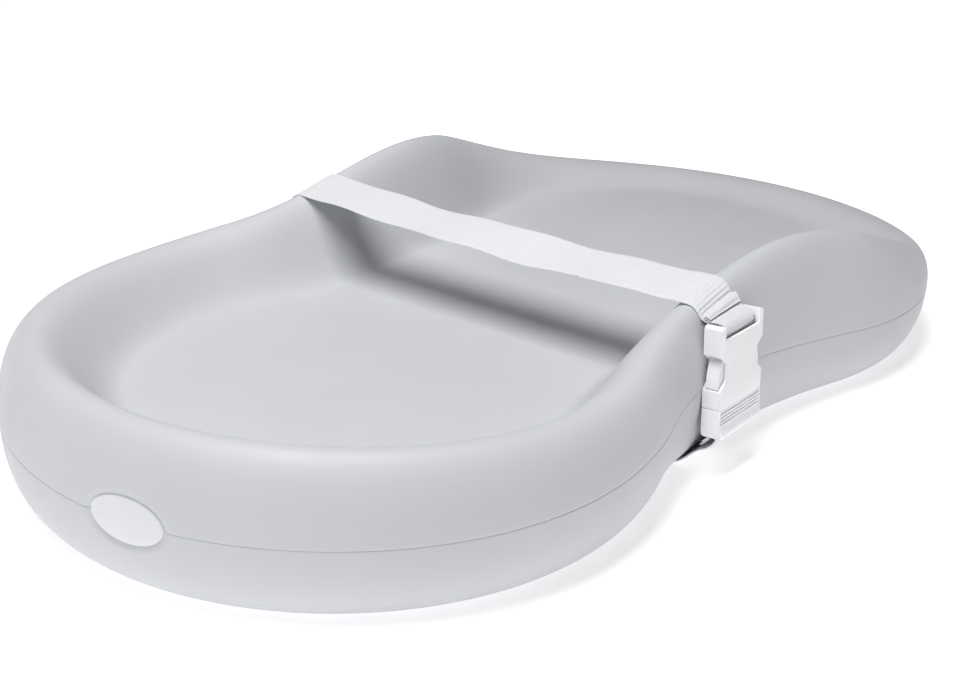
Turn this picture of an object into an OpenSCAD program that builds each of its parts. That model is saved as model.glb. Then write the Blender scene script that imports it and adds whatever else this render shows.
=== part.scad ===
// Changing pad: moulded foam body with a raised rim, safety belt and side release buckle.
// +X runs along the pad to its low end, +Y to the left, +Z up. The pad rests on z = 0.

/* [Pad outline] */
// Overall length of the pad
pad_length = 812; // [790:2:830]
// Plan radius of the high end
high_end_r = 215; // [212:1:220]
// Plan radius of the low end
low_end_r = 222; // [218:1:228]
// Half width at the waist
waist_half = 190; // [186:1:194]
// Where the waist lies along the pad
waist_x = -42; // [-50:1:-34]

/* [Pad section] */
// Height of the rim away from its hump
rim_h = 82; // [78:1:86]
// Extra height of the rim's hump
hump_h = 50; // [44:1:54]
// Where the hump peaks along the pad
hump_x = 70; // [60:1:80]
// Length scale of the hump
hump_len = 163; // [155:1:170]
// Rise of the rim at the high end, and its fall at the low end
rim_tilt = 19; // [15:1:20]
// Height of the mould parting line at the pad's middle, away from the waist
parting_z = 50; // [48:1:52]
// Height of the basin floor
floor_z = 55; // [53:1:57]
// How far the rim's crest lies inside the outline
crest_in = 23; // [20:1:26]
// How far the edge of the base lies inside the outline
base_in = 31; // [28:1:33]
// Width of the sloping inner wall
wall_w = 52; // [48:1:56]
// Thickness of the moulded skin
skin_t = 3; // [3:0.25:4]

/* [Badge] */
// Width of the oval badge
badge_w = 49; // [46:1:54]
// Height of the oval badge
badge_h = 28; // [25:1:31]
// How far the badge lies to the right of the pad's long axis
badge_off = 39; // [36:1:44]

/* [Belt] */
// Width of the webbing
web_w = 38; // [36:1:40]
// Thickness of the webbing
web_t = 1.6; // [1.4:0.1:1.6]
// Sag of the belt over the basin
belt_sag = 4; // [2:1:8]

/* [Buckle] */
// Width of the buckle
buckle_w = 53; // [52:0.5:54]
// Thickness of the buckle
buckle_t = 13; // [13:0.5:14]
// Height of the buckle's lower edge above the ground
buckle_z = 29; // [28:0.5:30]
// How far the buckle leans back against the rim, in degrees
buckle_lean = 4; // [3:0.5:5]

/* [Hidden] */

body_colour = [0.78, 0.79, 0.81];
core_colour = [0.93, 0.9, 0.8];
badge_colour = [0.88, 0.89, 0.91];
web_colour = [0.93, 0.93, 0.95];
plastic_colour = [0.95, 0.95, 0.96];

// Pad outline: two end arcs joined by waist arcs that meet them smoothly
high_cx = high_end_r - pad_length / 2;
low_cx = pad_length / 2 - low_end_r;
function waist_arc(cx, r) = (pow(waist_x - cx, 2) + pow(waist_half, 2) - r * r) / (2 * (r - waist_half));
high_waist_r = waist_arc(high_cx, high_end_r);
low_waist_r = waist_arc(low_cx, low_end_r);
high_sweep = atan2(waist_half + high_waist_r, high_cx - waist_x);
low_sweep = atan2(waist_half + low_waist_r, waist_x - low_cx);
end_steps = 14;
waist_steps = 6;

// Each outline point is [x, y, outward normal x, outward normal y]
function end_point(cx, r, a, s) = [cx + s * r * cos(a), r * sin(a), s * cos(a), sin(a)];
function waist_point(r, a, s) =
    [waist_x + s * r * sin(a), waist_half + r * (1 - cos(a)), -s * sin(a), cos(a)];
left_side = concat(
    [for (i = [0 : end_steps - 1]) end_point(low_cx, low_end_r, low_sweep * i / end_steps, 1)],
    [for (i = [0 : waist_steps - 1]) waist_point(low_waist_r, (low_sweep - 90) * (1 - i / waist_steps), 1)],
    [for (i = [0 : waist_steps - 1]) waist_point(high_waist_r, (high_sweep - 90) * i / waist_steps, -1)],
    [for (i = [0 : end_steps]) end_point(high_cx, high_end_r, high_sweep * (1 - i / end_steps), -1)]);
outline = concat(left_side,
    [for (i = [len(left_side) - 2 : -1 : 1])
        [left_side[i][0], -left_side[i][1], left_side[i][2], -left_side[i][3]]]);

// Heights and insets of the section, which change along the pad
waist_len = 130;
waist_parting_rise = 12;
waist_crest_shift = 4;
parting_tilt = 2;
function near_waist(x) = exp(-pow((x - waist_x) / waist_len, 2));
function rim_top(x) =
    rim_h + hump_h * exp(-pow((x - hump_x) / hump_len, 2)) - rim_tilt * x / (pad_length / 2);
function parting(x) =
    parting_z + waist_parting_rise * near_waist(x) - parting_tilt * x / (pad_length / 2);
function crest_inset(x) = crest_in - waist_crest_shift * near_waist(x);

// Section points are [inset from the outline, height]; depth is how far below the surface
low_power = 0.86;
high_power = 1.02;
low_steps = 4;
high_steps = 5;
wall_steps = 6;
function low_point(x, a, depth) =
    [base_in * (1 - pow(sin(a), low_power)) + depth * sin(a),
     parting(x) * (1 - pow(cos(a), low_power)) + depth * cos(a)];
function high_point(x, a, depth) =
    [crest_inset(x) * (1 - pow(cos(a), high_power)) + depth * cos(a),
     parting(x) + (rim_top(x) - parting(x)) * pow(sin(a), high_power) - depth * sin(a)];
function wall_slope(x, t) = (rim_top(x) - floor_z) * 90 * PI / 180 * sin(180 * t) / wall_w;
function wall_point(x, t, depth) =
    let (slope = wall_slope(x, t), length = sqrt(1 + slope * slope))
    [crest_inset(x) + wall_w * t - depth * slope / length,
     rim_top(x) - (rim_top(x) - floor_z) * (1 - cos(180 * t)) / 2 - depth / length];
function lower_section(x, depth) =
    [for (i = [0 : low_steps]) low_point(x, 90 * i / low_steps, depth)];
function upper_section(x, depth) = concat(
    [for (i = [0 : high_steps]) high_point(x, 90 * i / high_steps, depth)],
    [for (i = [1 : wall_steps]) wall_point(x, i / wall_steps, depth)]);

// Rings run round the whole outline, one for each section point
function inset_point(p, q) = [p[0] - p[2] * q[0], p[1] - p[3] * q[0], q[1]];
function lower_rings(depth) =
    [for (k = [0 : low_steps]) [for (p = outline) inset_point(p, lower_section(p[0], depth)[k])]];
function upper_rings(depth) =
    [for (k = [0 : high_steps + wall_steps])
        [for (p = outline) inset_point(p, upper_section(p[0], depth)[k])]];
function reversed(list) = [for (i = [len(list) - 1 : -1 : 0]) list[i]];

// Closed solid through a list of rings that all have the same number of points. Each quad is
// split along its shorter diagonal, so that two solids that share a surface share its triangles.
module loft(rings) {
    n = len(rings[0]);
    last = n * (len(rings) - 1);
    sides = [for (r = [0 : len(rings) - 2]) for (i = [0 : n - 1])
        let (j = (i + 1) % n, a = r * n + i, b = r * n + j,
             forward = norm(rings[r][i] - rings[r + 1][j]) < norm(rings[r][j] - rings[r + 1][i]))
        for (face = forward ? [[a, a + n, b + n], [a, b + n, b]] : [[a, a + n, b], [a + n, b + n, b]])
            face];
    first_cap = [[for (i = [0 : n - 1]) i]];
    last_cap = [[for (i = [n - 1 : -1 : 0]) last + i]];
    polyhedron([for (ring = rings) each ring], concat(first_cap, sides, last_cap));
}

// Belt channel across the underside, so that the pad stands flat on its base
channel_depth = 2.2;
channel_side = 2;
module belt_channel() {
    width = web_w + 2 * channel_side;
    translate([waist_x - width / 2, -pad_length / 2, -1]) cube([width, pad_length, channel_depth + 1]);
}

// Badge: an oval cut from a thin upright cylinder round the high end's centre
badge_face = 0.4;
badge_t = 2;
film_t = 0.2;
badge_gap = 0.4;
badge_angle = asin(badge_off / high_end_r);
badge_z = parting_z + parting_tilt;
module badge_oval(grow) {
    translate([high_cx, 0, badge_z]) rotate([0, 0, badge_angle]) rotate([90, 0, -90])
        linear_extrude(2 * high_end_r)
            polygon([for (a = [0 : 6 : 354])
                [(badge_w / 2 + grow) * cos(a), (badge_h / 2 + grow) * sin(a)]]);
}
module badge_layer(outer_depth, thickness, grow) {
    intersection() {
        badge_oval(grow);
        translate([high_cx, 0, badge_z - badge_h]) difference() {
            cylinder(r = high_end_r - outer_depth, h = 2 * badge_h, $fn = 180);
            translate([0, 0, -1])
                cylinder(r = high_end_r - outer_depth - thickness, h = 2 * badge_h + 2, $fn = 180);
        }
    }
}
module badge_recess() {
    badge_layer(-5, 5 + badge_face + badge_t + film_t, badge_gap);
}

module foam_core() {
    color(core_colour) loft(concat(lower_rings(skin_t), upper_rings(skin_t)));
}

module upper_skin() {
    color(body_colour) difference() {
        loft(concat(reversed(upper_rings(skin_t)), upper_rings(0)));
        badge_recess();
    }
}

module lower_skin() {
    color(body_colour) difference() {
        loft(concat(lower_rings(0), reversed(lower_rings(skin_t))));
        belt_channel();
        badge_recess();
    }
}

module badge() {
    color(badge_colour) badge_layer(badge_face, badge_t, 0);
}

module badge_film() {
    color(core_colour) badge_layer(badge_face + badge_t, film_t, -1);
}

// Belt stations are [y, z, outward normal y, outward normal z] on the webbing's middle
web_gap = 0.8;
web_off = web_gap + web_t / 2;
web_base_z = channel_depth - web_t / 2;
function half_width(x) =
    let (r = x < waist_x ? high_waist_r : low_waist_r)
    waist_half + r - sqrt(r * r - pow(x - waist_x, 2));
function low_station(x, a, side) =
    let (q = low_point(x, a, -web_off))
    [side * (half_width(x) - q[0]), max(q[1], web_base_z), side * sin(a), -cos(a)];
function high_station(x, a, side) =
    let (q = high_point(x, a, -web_off))
    [side * (half_width(x) - q[0]), q[1], side * cos(a), sin(a)];
function base_end(x, side) = [side * (waist_half - base_in - 8), web_base_z, 0, -1];

// A strip of webbing: near and far are the station lists of its two edges
near_edge = waist_x - web_w / 2;
far_edge = waist_x + web_w / 2;
module webbing(near, far, t = web_t) {
    function edge(x, s, k) = [x, s[0] + k * s[2] * t / 2, s[1] + k * s[3] * t / 2];
    color(web_colour)
        loft([for (i = [0 : len(near) - 1])
            [edge(near_edge, near[i], -1), edge(near_edge, near[i], 1),
             edge(far_edge, far[i], 1), edge(far_edge, far[i], -1)]]);
}

flank_angles = [10, 16, 22, 28, 36, 46, 58, 74, 90];
crest_angles = [20, 40, 60, 75, 90];
function left_flank(x) = concat([base_end(x, 1)],
    [for (a = flank_angles) low_station(x, a, 1)], [for (a = crest_angles) high_station(x, a, 1)]);
module belt_left_flank() {
    webbing(reversed(left_flank(near_edge)), reversed(left_flank(far_edge)));
}

span_steps = 16;
function span_station(x, t) =
    let (top = high_station(x, 90, 1))
    [top[0] * t, top[1] - belt_sag * (1 - t * t), 0, 1];
function span(x) = [for (i = [0 : span_steps]) span_station(x, 2 * i / span_steps - 1)];
module belt_over_basin() {
    webbing(span(near_edge), span(far_edge));
}

module belt_under_base() {
    run = [base_end(near_edge, 1), base_end(near_edge, -1)];
    webbing(run, run);
}

// Buckle frame: u across, w up, v outwards from the buckle's back
buckle_back = waist_half + 4.2;
module at_buckle() {
    translate([waist_x, -buckle_back, buckle_z]) rotate([90 - buckle_lean, 0, 0]) children();
}
function buckle_yz(v, w) =
    [-buckle_back - v * cos(buckle_lean) + w * sin(buckle_lean),
     buckle_z + v * sin(buckle_lean) + w * cos(buckle_lean)];

// Bars that hold the webbing, as [v, w, radius] in the buckle's frame
top_bar = [buckle_t / 2, 72.5, 2.5];
inner_bar = [4.5, 63, 2];
male_bar = [4.5, 6, 2.2];
bar_gap = 0.3;
function round_bar(bar, a) =
    let (c = buckle_yz(bar[0], bar[1]), r = bar[2] + bar_gap + web_t / 2)
    [c[0] + r * cos(a), c[1] + r * sin(a), cos(a), sin(a)];
function turned(s) = [s[0], s[1], -s[2], -s[3]];

// The run from the right rim's crest, behind both bars and round the inner one
shoulder_angles = [90, 75, 60];
run_bend = [-waist_half + 0.6, 102.2, -0.75, 0.66];
run_entry = [-waist_half - 1.3, 97.5, -1, 0.1];
inner_turn = [0, -45, -90, -135, -180];
function run_station(x, t) = run_bend * (1 - t) + high_station(x, 60, -1) * t;
function adjuster_run(x) = concat([for (a = shoulder_angles) high_station(x, a, -1)],
    [run_bend, run_entry], [for (a = inner_turn) turned(round_bar(inner_bar, a))]);
module belt_adjuster_run() {
    webbing(reversed(adjuster_run(near_edge)), reversed(adjuster_run(far_edge)));
}

// The free tail, over the top bar and back along the outside of the run
tail_lift = web_t + 0.15;
tail_turn = [180, 155, 130, 108];
tail_rest = 0.3;
tail_end = 0.85;
function lifted(s, d) = [s[0] + s[2] * d, s[1] + s[3] * d, s[2], s[3]];
function free_tail(x) = concat([turned(round_bar(inner_bar, -180))],
    [for (a = tail_turn) turned(round_bar(top_bar, a))],
    [turned(lifted(run_station(x, tail_rest), tail_lift))]);
module belt_free_tail() {
    webbing(reversed(free_tail(near_edge)), reversed(free_tail(far_edge)));
}

// The hem: the tail's end rolled over into a thicker band
hem_t = 3.2;
hem_lift = tail_lift + (hem_t - web_t) / 2;
function hem(x) = [for (t = [tail_rest, tail_end]) lifted(run_station(x, t), hem_lift)];
module tail_hem() {
    webbing(hem(near_edge), hem(far_edge), hem_t);
}

// Stitches lie in rows across a strip of webbing and stand a little proud of it
stitch = [1.6, 0.5, 0.4];
stitch_pitch = 2.6;
module stitch_row(near, far, lift, count) {
    lean = atan2(far[1] - near[1], far_edge - near_edge);
    mid = (near + far) / 2;
    translate([waist_x, mid[0] + mid[2] * lift, mid[1] + mid[3] * lift])
        rotate([0, -lean, 0]) rotate([atan2(-mid[2], mid[3]), 0, 0])
            for (i = [0 : count - 1])
                translate([(i - (count - 1) / 2) * stitch_pitch, 0, 0]) cube(stitch, center = true);
}
module hem_stitching() {
    near = hem(near_edge);
    far = hem(far_edge);
    color(plastic_colour) stitch_row((near[0] + near[1]) / 2, (far[0] + far[1]) / 2, hem_t / 2, 13);
}

// The loop: out of the channel, up in front of the male bar, over it and back down inside
loop_rise = [[-169, 1.4, 0, -1], [-173.6, 2.2, -0.35, -0.94], [-177.6, 4.9, -0.62, -0.78],
             [-187.3, 14.2, -0.62, -0.78], [-196, 19.8, -0.62, -0.78], [-200.6, 26, -0.95, -0.3]];
loop_fold = [[-195.6, 29.6, 0.97, 0.25], [-194.4, 24.6, 0.75, 0.66], [-190.4, 20.2, 0.62, 0.78]];
buckle_loop = concat([base_end(near_edge, -1)], loop_rise,
    [for (a = [180 : -30 : 0]) round_bar(male_bar, a)], loop_fold);
module belt_buckle_loop() {
    webbing(buckle_loop, buckle_loop);
}

// Bar tack through both layers of the fold, on the loop's outer face
module fold_stitching() {
    color(plastic_colour) for (k = [0.3, 0.5, 0.7]) {
        spot = loop_rise[3] * (1 - k) + loop_rise[4] * k;
        stitch_row(spot, spot, web_t / 2, 11);
    }
}

// Sizes inside the buckle, all in its own frame
half_w = buckle_w / 2;
seam_w = 21;
window_low = 34;
window_high = 56;
plate_half = 19.7;
plate_t = 1.8;
web_half = web_w / 2 + 2.8;
top_w = 76;
front_slot_w = 67;
opening_low = 58;
cavity_top = 57.4;
ring_wall = 2.4;
flare = 0.6;
tongue_half = 6;
pivot_u = 15;
pivot_w = 16;
knuckle_r = 3;
knuckle_gap = 0.05;
prong_gap = 0.4;

module bar(spec) {
    translate([-half_w + 1, spec[1], spec[0]]) rotate([0, 90, 0])
        cylinder(r = spec[2], h = buckle_w - 2, $fn = 48);
}
module slab(u, w0, w1, v0, v1) {
    translate([-u, w0, v0]) cube([2 * u, w1 - w0, v1 - v0]);
}
module female_outline() {
    polygon([
        [-half_w, seam_w + 0.3], [half_w, seam_w + 0.3], [half_w + flare, window_low],
        [plate_half, window_low + 6], [plate_half, window_high - 4], [half_w, window_high + 1],
        [half_w, top_w - 3], [half_w - 2, top_w], [2 - half_w, top_w], [-half_w, top_w - 3],
        [-half_w, window_high + 1], [-plate_half, window_high - 4], [-plate_half, window_low + 6],
        [-half_w - flare, window_low]]);
}
module buckle_female() {
    color(plastic_colour) at_buckle() {
        difference() {
            linear_extrude(buckle_t) female_outline();
            slab(half_w - ring_wall, seam_w - 1, cavity_top, plate_t, buckle_t - plate_t);
            slab(half_w + 1, window_low, window_high, plate_t, buckle_t - plate_t);
            slab(web_half, opening_low, top_w + 1, -1, buckle_t - plate_t);
            slab(web_half, front_slot_w, top_w + 1, 0, buckle_t + 1);
        }
        bar(top_bar);
        bar(inner_bar);
    }
}

// One prong pocket in the male half, for the prong on the +u side
module prong_pocket() {
    translate([pivot_u, pivot_w, plate_t]) {
        cylinder(r = knuckle_r + knuckle_gap, h = buckle_t - 2 * plate_t, $fn = 64);
        linear_extrude(buckle_t - 2 * plate_t)
            polygon([[-2.4, 0], [2.4, 0], [2.8, seam_w - pivot_w + 1], [-3.6, seam_w - pivot_w + 1]]);
    }
}
module male_outline() {
    polygon([[-half_w - flare, 6], [-half_w, 2.5], [-half_w + 3, 0], [half_w - 3, 0], [half_w, 2.5],
             [half_w + flare, 6], [half_w, seam_w], [-half_w, seam_w]]);
}

// The male half's front: a rounded lip along its lower edge, then grip grooves and a step
lip_v = 9.4;
lip_w = 9;
groove_depth = 0.6;
module front_lip() {
    translate([-half_w + 1, 0, 0]) rotate([90, 0, 90]) linear_extrude(buckle_w - 2)
        polygon([[0.6, lip_v], [0, 10.6], [0.3, buckle_t - 0.4], [2, buckle_t + 0.8], [4.5, buckle_t + 1.2],
                 [7, buckle_t + 0.8], [lip_w, buckle_t - 0.1], [lip_w, lip_v]]);
}
module front_grooves() {
    for (w = [11, 13.3, 15.6])
        slab(half_w - 0.8, w, w + 1.1, buckle_t - groove_depth, buckle_t + 1);
    slab(half_w - 0.8, 17.9, seam_w + 1, buckle_t - groove_depth, buckle_t + 1);
}
module buckle_male() {
    color(plastic_colour) at_buckle() {
        difference() {
            linear_extrude(buckle_t) male_outline();
            slab(web_half, -1, pivot_w - knuckle_r - 1.6, -1, lip_v);
            front_grooves();
            prong_pocket();
            mirror([1, 0, 0]) prong_pocket();
        }
        bar(male_bar);
        front_lip();
        slab(tongue_half, seam_w - 1, cavity_top - 3, plate_t + prong_gap, buckle_t - plate_t - prong_gap);
    }
}

// A prong: knuckle, arm and outward latch head with a rounded tip
head_u = half_w - 0.5;
module prong_shape() {
    translate([pivot_u, pivot_w]) circle(r = knuckle_r, $fn = 64);
    polygon([
        [pivot_u - 2, pivot_w], [pivot_u + 2, pivot_w], [pivot_u + 2.2, seam_w + 1],
        [pivot_u + 4.8, window_low + 0.4], [head_u, window_low + 0.4], [head_u, 41], [head_u - 1.2, 47],
        [22.4, 52.4], [20.2, 54.8], [17.6, 55.2], [15.8, 52.5], [pivot_u - 1, 43],
        [pivot_u - 1.6, seam_w]]);
}
module prong() {
    v0 = plate_t + prong_gap;
    translate([0, 0, v0]) linear_extrude(buckle_t - 2 * v0) prong_shape();
}
module prong_near() {
    color(plastic_colour) at_buckle() mirror([1, 0, 0]) prong();
}
module prong_far() {
    color(plastic_colour) at_buckle() prong();
}

foam_core();
upper_skin();
lower_skin();
badge();
badge_film();
belt_over_basin();
belt_left_flank();
belt_under_base();
belt_buckle_loop();
belt_adjuster_run();
belt_free_tail();
tail_hem();
hem_stitching();
fold_stitching();
buckle_female();
buckle_male();
prong_near();
prong_far();
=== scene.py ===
"""Changing pad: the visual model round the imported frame.

Everything is in metres. +X runs along the pad to its low end, +Y to the left, away from the
buckle, and +Z up; the pad rests on z = 0.
"""
import math

import bpy
import numpy as np
from mathutils import Matrix, Vector


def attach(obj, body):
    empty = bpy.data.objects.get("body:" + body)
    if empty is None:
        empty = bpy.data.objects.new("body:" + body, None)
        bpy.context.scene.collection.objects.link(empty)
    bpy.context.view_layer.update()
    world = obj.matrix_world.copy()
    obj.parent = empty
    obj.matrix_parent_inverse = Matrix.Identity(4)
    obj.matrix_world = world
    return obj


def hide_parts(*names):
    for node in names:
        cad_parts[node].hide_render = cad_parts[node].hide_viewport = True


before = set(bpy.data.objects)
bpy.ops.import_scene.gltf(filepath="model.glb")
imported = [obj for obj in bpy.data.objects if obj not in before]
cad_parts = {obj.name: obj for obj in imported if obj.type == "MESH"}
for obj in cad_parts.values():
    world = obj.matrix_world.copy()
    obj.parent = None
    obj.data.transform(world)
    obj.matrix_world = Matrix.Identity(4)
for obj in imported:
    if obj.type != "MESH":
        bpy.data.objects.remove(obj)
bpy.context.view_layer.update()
RNG = np.random.default_rng(7)

# Pad outline and section, as in the CAD, but with a skin that is 0.4 mm clear of the foam
PAD_LENGTH = 0.812
HIGH_END_R = 0.215
LOW_END_R = 0.222
WAIST_HALF = 0.190
WAIST_X = -0.042
RIM_H = 0.082
HUMP_H = 0.050
HUMP_X = 0.070
HUMP_LEN = 0.163
RIM_TILT = 0.019
PARTING_Z = 0.050
PARTING_TILT = 0.002
WAIST_LEN = 0.130
WAIST_PARTING_RISE = 0.012
WAIST_CREST_SHIFT = 0.004
FLOOR_Z = 0.055
CREST_IN = 0.023
BASE_IN = 0.031
WALL_W = 0.052
LOW_POWER = 0.86
HIGH_POWER = 1.02
SKIN_T = 0.0026
SEAM_DEPTH = 0.00035
SEAM_HALF = 0.00032
FLOOR_REACH = 0.93
SAMPLE_STEP = 0.0065
FINE_STEP = 0.0008
HIGH_CX = HIGH_END_R - PAD_LENGTH / 2
LOW_CX = PAD_LENGTH / 2 - LOW_END_R

# Badge
BADGE_W = 0.049
BADGE_H = 0.028
BADGE_ANGLE = math.asin(0.039 / HIGH_END_R)
BADGE_Z = PARTING_Z + PARTING_TILT
RECESS_DEPTH = 0.0014
RECESS_GAP = 0.0003
RECESS_EDGE = 0.0042
RECESS_STRETCH = 0.73
BADGE_ZONE = 0.031

# Belt
WEB_W = 0.038
WEB_T = 0.0016
WEB_GAP = 0.0008
WEB_OFF = WEB_GAP + WEB_T / 2
BELT_SAG = 0.004
CHANNEL_DEPTH = 0.0022
CHANNEL_SIDE = 0.002
HEM_GAP = 0.0001
STITCH_LENGTH = 0.0017
STITCH_PITCH = 0.0026
THREAD_R = 0.00026

# Buckle, whose own frame is u across, w up, v outwards from its back
BUCKLE_BACK = WAIST_HALF + 0.0042
BUCKLE_Z = 0.029
BUCKLE_LEAN = math.radians(4)
BUCKLE_T = 0.013
HALF_W = 0.0265
FLARE = 0.0006
SEAM_W = 0.021
TOP_W = 0.076
PLATE_T = 0.0018
PLATE_HALF = 0.0197
RING_WALL = 0.0024
CAVITY_TOP = 0.0574
OPENING_LOW = 0.058
FRONT_SLOT_LOW = 0.067
WINDOW = (0.034, 0.056)
WEB_HALF = WEB_W / 2 + 0.0028
INSIDE = (PLATE_T, BUCKLE_T - PLATE_T)
BAR_REACH = HALF_W - 0.001
GROOVES = (0.011, 0.0133, 0.0156)
GROOVE_W = 0.0011
GROOVE_DEPTH = 0.0006
GROOVE_HALF = HALF_W - 0.0014
STEP_LOW = 0.0179
PIVOT = (0.015, 0.016)
KNUCKLE_R = 0.003
KNUCKLE_GAP = 0.00008
PRONG_GAP = PLATE_T + 0.0004
PAST = 0.001


def waist_radius(cx, r):
    return ((WAIST_X - cx) ** 2 + WAIST_HALF**2 - r * r) / (2 * (r - WAIST_HALF))


HIGH_WAIST_R = waist_radius(HIGH_CX, HIGH_END_R)
LOW_WAIST_R = waist_radius(LOW_CX, LOW_END_R)
HIGH_SWEEP = math.atan2(WAIST_HALF + HIGH_WAIST_R, HIGH_CX - WAIST_X)
LOW_SWEEP = math.atan2(WAIST_HALF + LOW_WAIST_R, WAIST_X - LOW_CX)


# ---------------------------------------------------------------- small helpers


def smoothstep(x):
    x = np.clip(x, 0, 1)
    return x * x * (3 - 2 * x)


def mesh_object(name, points, faces, sharp=50):
    """A smooth-shaded object, with edges sharper than sharp degrees left crisp."""
    mesh = bpy.data.meshes.new(name)
    mesh.from_pydata([tuple(p) for p in points], [], faces)
    mesh.update()
    obj = bpy.data.objects.new(name, mesh)
    bpy.context.scene.collection.objects.link(obj)
    finish_shading(obj, sharp)
    return obj


def finish_shading(obj, sharp):
    obj.data.polygons.foreach_set("use_smooth", [True] * len(obj.data.polygons))
    obj.data.set_sharp_from_angle(angle=math.radians(sharp))
    obj.data.update()


def apply_modifiers(obj):
    """Replaces the object's mesh by the one that its modifiers give."""
    graph = bpy.context.evaluated_depsgraph_get()
    mesh = bpy.data.meshes.new_from_object(obj.evaluated_get(graph))
    obj.modifiers.clear()
    obj.data = mesh


def combine(obj, operation, others):
    """Applies one boolean for each of the others in turn, then removes them."""
    for other in others:
        modifier = obj.modifiers.new("combine", "BOOLEAN")
        modifier.operation = operation
        modifier.solver = "EXACT"
        modifier.object = other
    bpy.context.view_layer.update()
    apply_modifiers(obj)
    for other in others:
        bpy.data.objects.remove(other)


def cut(obj, cutters):
    combine(obj, "DIFFERENCE", cutters)


def join(obj, others):
    combine(obj, "UNION", others)


def bevel(obj, width, segments=3, angle=35):
    modifier = obj.modifiers.new("bevel", "BEVEL")
    modifier.width = width
    modifier.segments = segments
    modifier.limit_method = "ANGLE"
    modifier.angle_limit = math.radians(angle)
    modifier.miter_outer = "MITER_ARC"
    bpy.context.view_layer.update()
    apply_modifiers(obj)
    finish_shading(obj, 60)


def ring_faces(count, rings, first=0):
    """Quads between successive closed rings of count points."""
    faces = []
    for r in range(rings - 1):
        a = first + r * count
        for i in range(count):
            j = (i + 1) % count
            faces.append((a + i, a + i + count, a + j + count, a + j))
    return faces


# ---------------------------------------------------------------- body surface


def near_waist(x):
    return np.exp(-(((x - WAIST_X) / WAIST_LEN) ** 2))


def rim_top(x):
    hump = HUMP_H * np.exp(-(((x - HUMP_X) / HUMP_LEN) ** 2))
    return RIM_H + hump - RIM_TILT * x / (PAD_LENGTH / 2)


def parting(x):
    return PARTING_Z + WAIST_PARTING_RISE * near_waist(x) - PARTING_TILT * x / (PAD_LENGTH / 2)


def crest_inset(x):
    return CREST_IN - WAIST_CREST_SHIFT * near_waist(x)


def low_point(x, a, depth):
    """(inset, height) on the lower section; a runs from 0 at the base to a right angle."""
    sin, cos = np.sin(a), np.cos(a)
    inset = BASE_IN * (1 - sin**LOW_POWER) + depth * sin
    return inset, parting(x) * (1 - np.clip(cos, 0, 1) ** LOW_POWER) + depth * cos


def high_point(x, a, depth):
    """(inset, height) from the parting line, a = 0, to the rim's crest."""
    sin, cos = np.sin(a), np.clip(np.cos(a), 0, 1)
    inset = crest_inset(x) * (1 - cos**HIGH_POWER) + depth * cos
    return inset, parting(x) + (rim_top(x) - parting(x)) * sin**HIGH_POWER - depth * sin


def wall_point(x, t, depth):
    """(inset, height) from the crest, t = 0, down to the basin's floor."""
    drop = rim_top(x) - FLOOR_Z
    slope = drop * math.pi / 2 * math.sin(math.pi * t) / WALL_W
    length = np.sqrt(1 + slope * slope)
    inset = crest_inset(x) + WALL_W * t - depth * slope / length
    return inset, rim_top(x) - drop * (1 - math.cos(math.pi * t)) / 2 - depth / length


HALF_LENGTHS = (
    LOW_END_R * LOW_SWEEP,
    LOW_WAIST_R * (LOW_SWEEP - math.pi / 2),
    HIGH_WAIST_R * (HIGH_SWEEP - math.pi / 2),
    HIGH_END_R * HIGH_SWEEP,
)
HALF_PERIMETER = sum(HALF_LENGTHS)
BADGE_S = HALF_PERIMETER + BADGE_ANGLE * HIGH_END_R


def left_point(s):
    """(x, y, outward normal x, outward normal y) at s along the left side from the low end."""
    low, low_waist, high_waist, _ = HALF_LENGTHS
    if s < low:
        a = s / LOW_END_R
        return (LOW_CX + LOW_END_R * math.cos(a), LOW_END_R * math.sin(a), math.cos(a), math.sin(a))
    s -= low
    if s < low_waist:
        a = LOW_SWEEP - math.pi / 2 - s / LOW_WAIST_R
        r, sign = LOW_WAIST_R, 1
    elif s < low_waist + high_waist:
        a = (s - low_waist) / HIGH_WAIST_R
        r, sign = HIGH_WAIST_R, -1
    else:
        a = HIGH_SWEEP - (s - low_waist - high_waist) / HIGH_END_R
        return (HIGH_CX - HIGH_END_R * math.cos(a), HIGH_END_R * math.sin(a), -math.cos(a), math.sin(a))
    return (
        WAIST_X + sign * r * math.sin(a),
        WAIST_HALF + r * (1 - math.cos(a)),
        -sign * math.sin(a),
        math.cos(a),
    )


def outline_point(s):
    if s <= HALF_PERIMETER:
        return left_point(s)
    x, y, nx, ny = left_point(2 * HALF_PERIMETER - s)
    return (x, -y, nx, -ny)


def outline_samples():
    """Places along the outline: 6.5 mm apart, and 0.8 mm apart round the badge."""
    places = [0.0]
    while places[-1] < 2 * HALF_PERIMETER:
        away = max(0, abs(places[-1] - BADGE_S) - BADGE_ZONE)
        places.append(places[-1] + min(SAMPLE_STEP, FINE_STEP + 0.12 * away))
    places = np.array(places[:-1]) * (2 * HALF_PERIMETER / places[-1])
    return places


SAMPLES = outline_samples()
OUTLINE = np.array([outline_point(s) for s in SAMPLES])


def place(outline, inset, z):
    """Points at an inset and a height from the outline's points."""
    x = outline[:, 0] - outline[:, 2] * inset
    y = outline[:, 1] - outline[:, 3] * inset
    return np.column_stack([x, y, np.broadcast_to(z, x.shape)])


def seam_roll(below):
    """The skin turns in a little where the two halves of the mould meet."""
    return SEAM_DEPTH * np.exp(-((np.abs(below) / SEAM_HALF) ** 1.3))


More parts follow.
